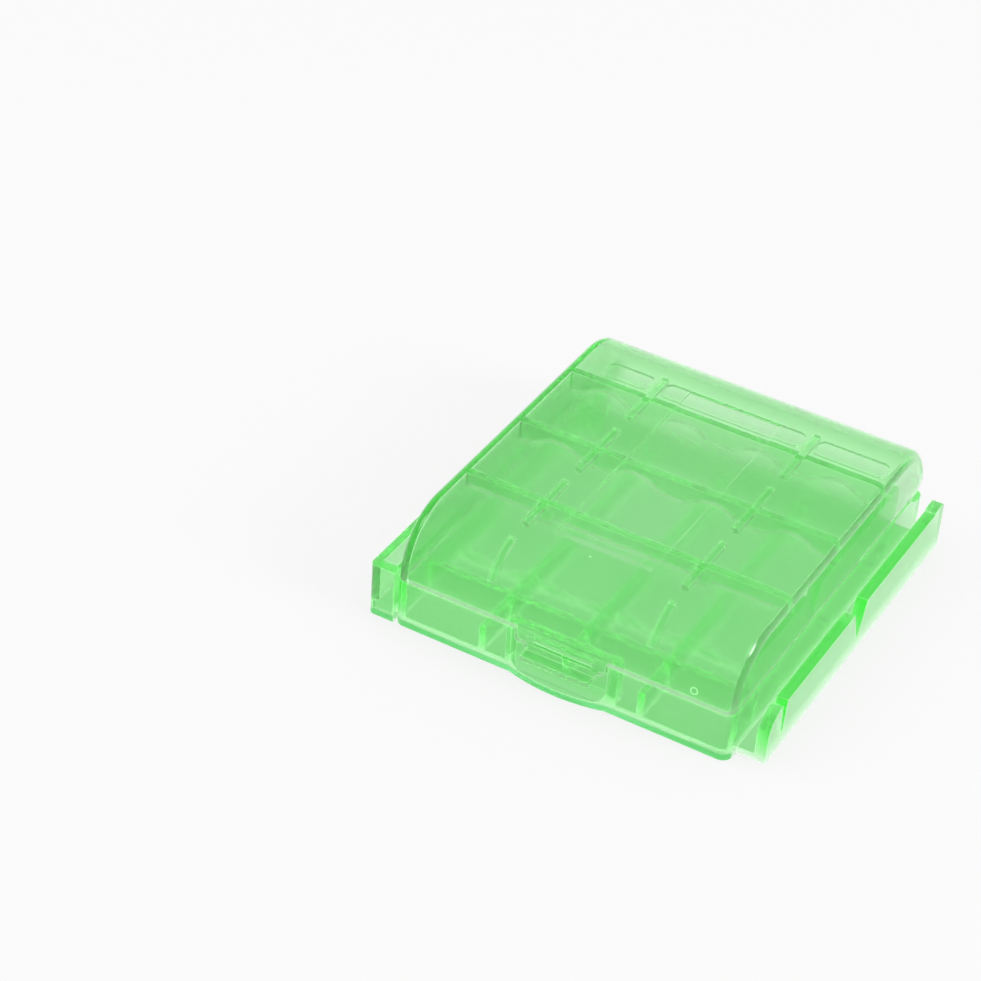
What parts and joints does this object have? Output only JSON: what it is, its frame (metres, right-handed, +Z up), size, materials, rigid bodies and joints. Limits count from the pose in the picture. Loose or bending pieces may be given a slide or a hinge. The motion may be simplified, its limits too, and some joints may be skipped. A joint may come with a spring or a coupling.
{
  "type": "battery storage case",
  "caption": "Slim rectangular hinged case for round cells lying side by side, with a rounded lid, a snap tab at the front and a link rail and wing on its sides.",
  "frame": {"origin": "middle of the flat underside of the tray's body, without its rail and wing", "axes": "+X towards the rail side, across the cells; +Y from the latch at the front to the hinge at the back, along the cells; +Z up, from the underside to the lid's top"},
  "size_m": [0.0742, 0.079, 0.0214],
  "materials": {
    "tray_plastic": "glossy translucent green",
    "lid_plastic": "glossy translucent green"
  },
  "bodies": {
    "base": {"tray": "tray_plastic"},
    "cover": {"lid": "lid_plastic"}
  },
  "joints": [
    {"name": "lid_hinge", "type": "hinge", "parent": "base", "child": "cover", "pos_m": [0, 0.035, 0.0113], "axis": [-1, 0, 0], "range_deg": [0, 105]}
  ]
}
